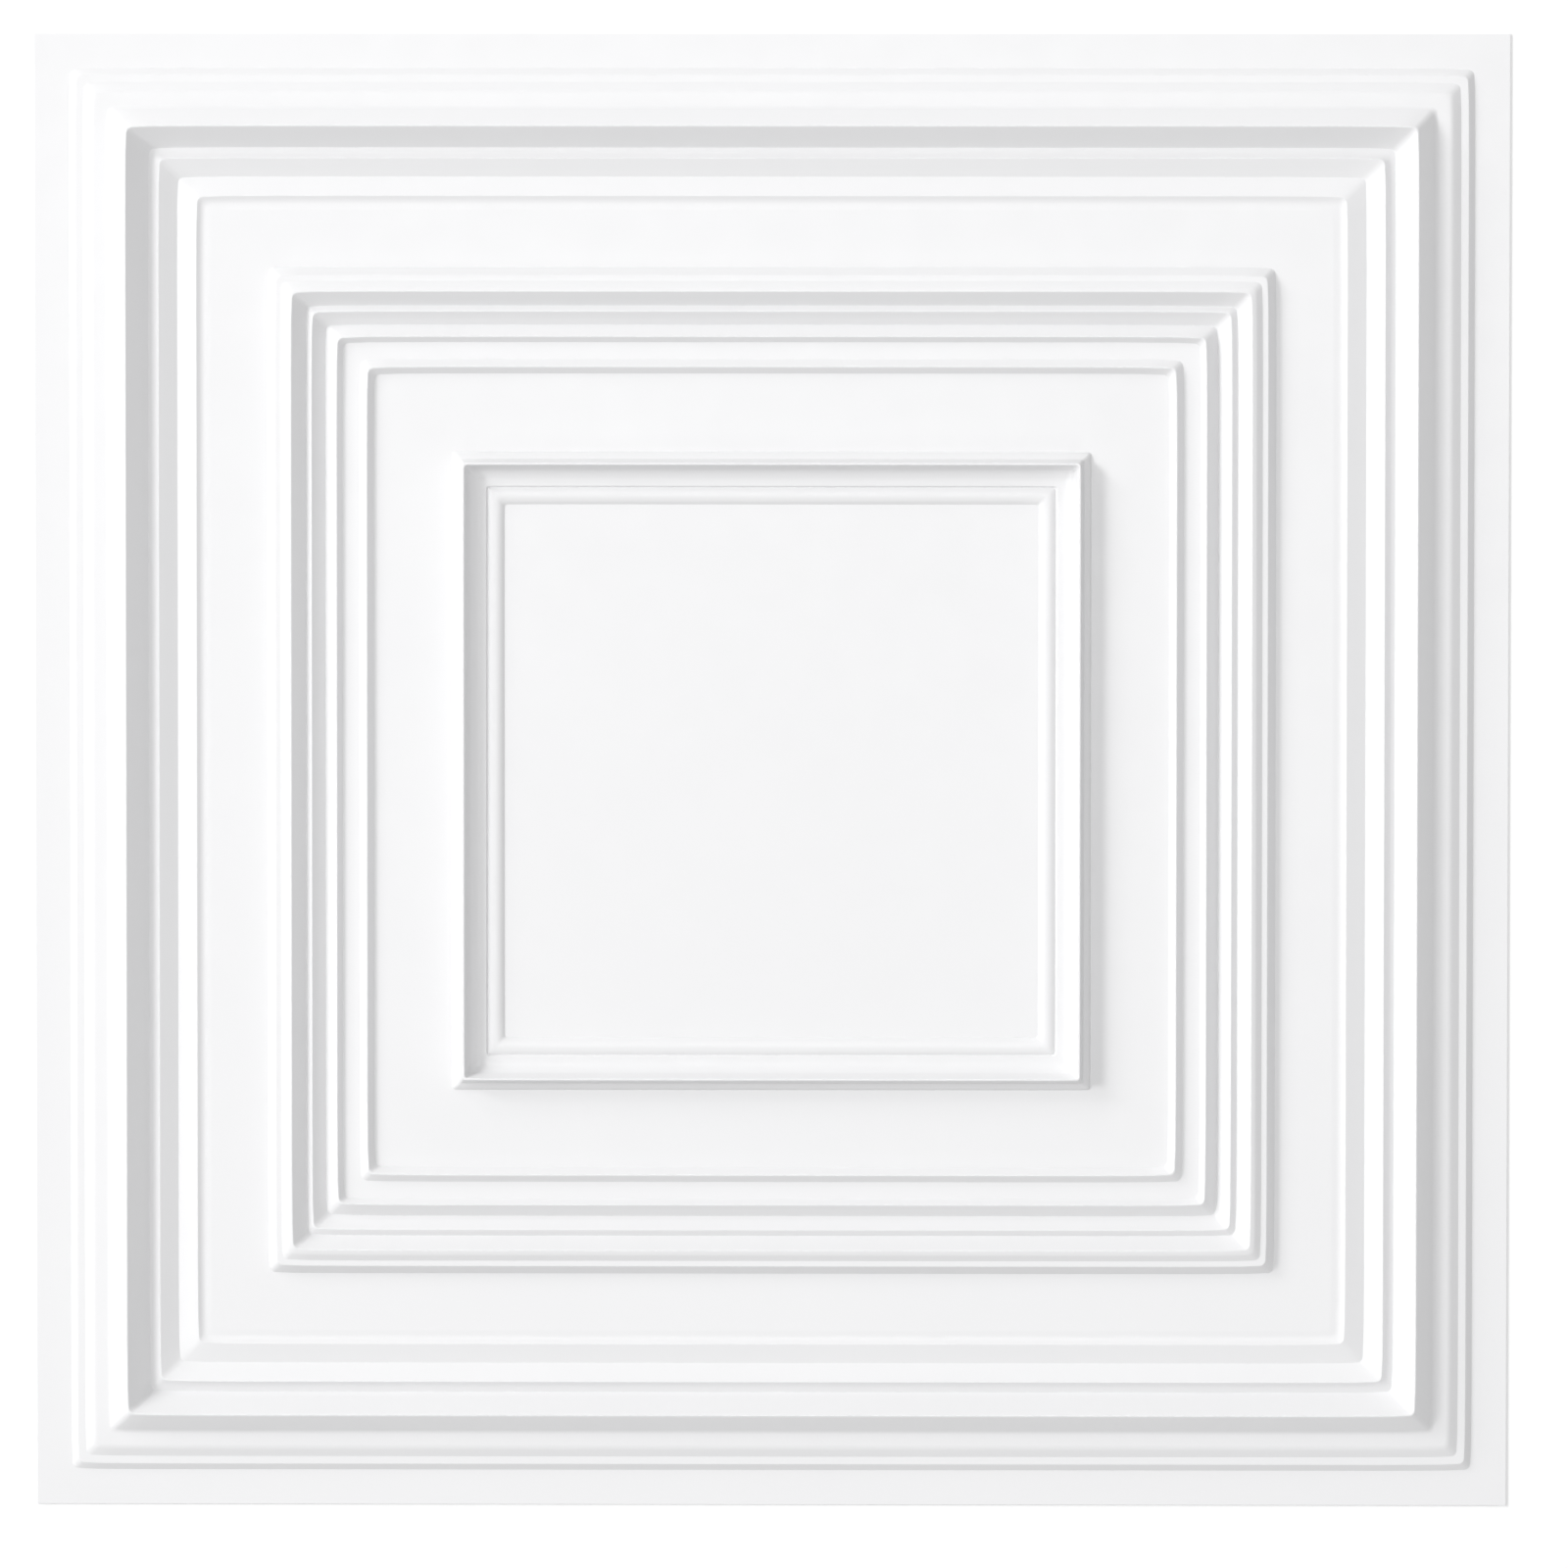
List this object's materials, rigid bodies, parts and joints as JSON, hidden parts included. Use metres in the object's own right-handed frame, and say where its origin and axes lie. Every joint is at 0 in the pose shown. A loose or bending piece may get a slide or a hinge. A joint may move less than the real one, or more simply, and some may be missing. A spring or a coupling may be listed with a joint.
{
  "type": "pvc drop ceiling tile",
  "caption": "Square lay-in ceiling tile of thin formed PVC: nested square mouldings round a flat middle panel, with a flat edge flange that rests on a ceiling grid.",
  "frame": {"origin": "middle of the underside, in the plane of the flange's back face", "axes": "+Z out of the moulded face, X and Y along the tile's sides"},
  "size_m": [0.6032, 0.6032, 0.0131],
  "materials": {
    "white_pvc": "satin white, faint moulded grain"
  },
  "bodies": {
    "root": {"ceiling_tile": "white_pvc"}
  },
  "joints": []
}
